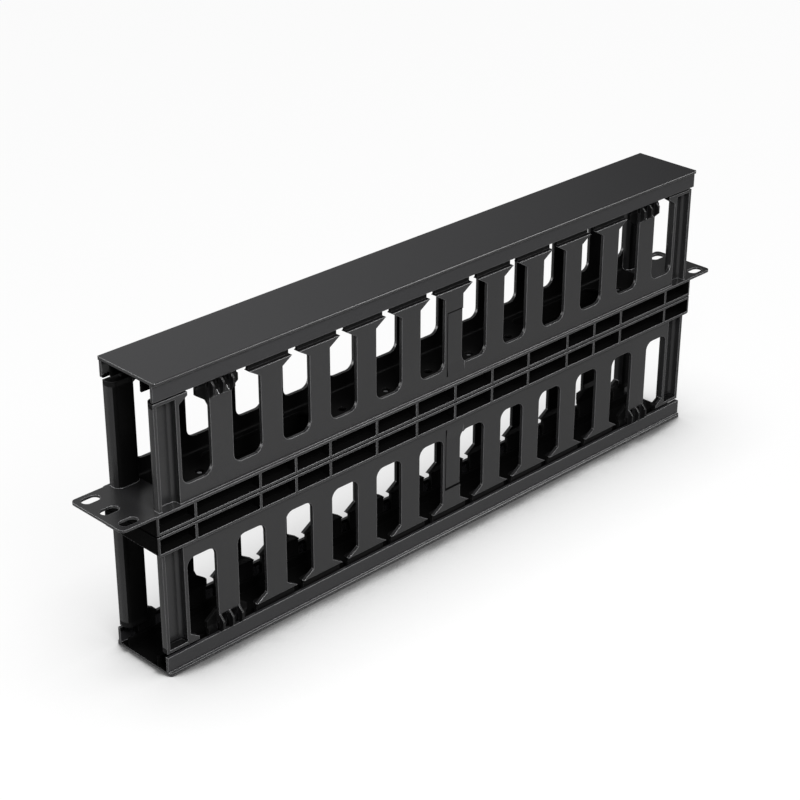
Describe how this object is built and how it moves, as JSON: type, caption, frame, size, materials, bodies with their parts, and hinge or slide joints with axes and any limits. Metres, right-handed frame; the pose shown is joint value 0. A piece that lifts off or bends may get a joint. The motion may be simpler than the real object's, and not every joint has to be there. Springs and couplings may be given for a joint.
{
  "type": "horizontal cable manager",
  "caption": "Double-sided horizontal rack cable manager: slotted finger ducts back to back on a base with rack ears, each closed by a push-on cover.",
  "frame": {"origin": "middle of the lower cover's outer face, which the object stands on", "axes": "+X along the rack over the ears, +Z from the rear duct's cover to the front duct's cover, -Y the long side in the picture"},
  "size_m": [0.4826, 0.048, 0.174],
  "materials": {
    "duct_plastic": "satin",
    "cover_plastic": "satin",
    "screw_steel": "zinc plated"
  },
  "bodies": {
    "ducts": {"front_duct": "duct_plastic", "rear_duct": "duct_plastic", "joining_screws": "screw_steel"},
    "front_cover": {"front_cover": "cover_plastic"},
    "rear_cover": {"rear_cover": "cover_plastic"}
  },
  "joints": [
    {"name": "front_cover_lift", "type": "slide", "parent": "ducts", "child": "front_cover", "axis": [0, 0, 1], "range_m": [0, 0.025]},
    {"name": "rear_cover_lift", "type": "slide", "parent": "ducts", "child": "rear_cover", "axis": [0, 0, -1], "range_m": [0, 0.025]}
  ]
}
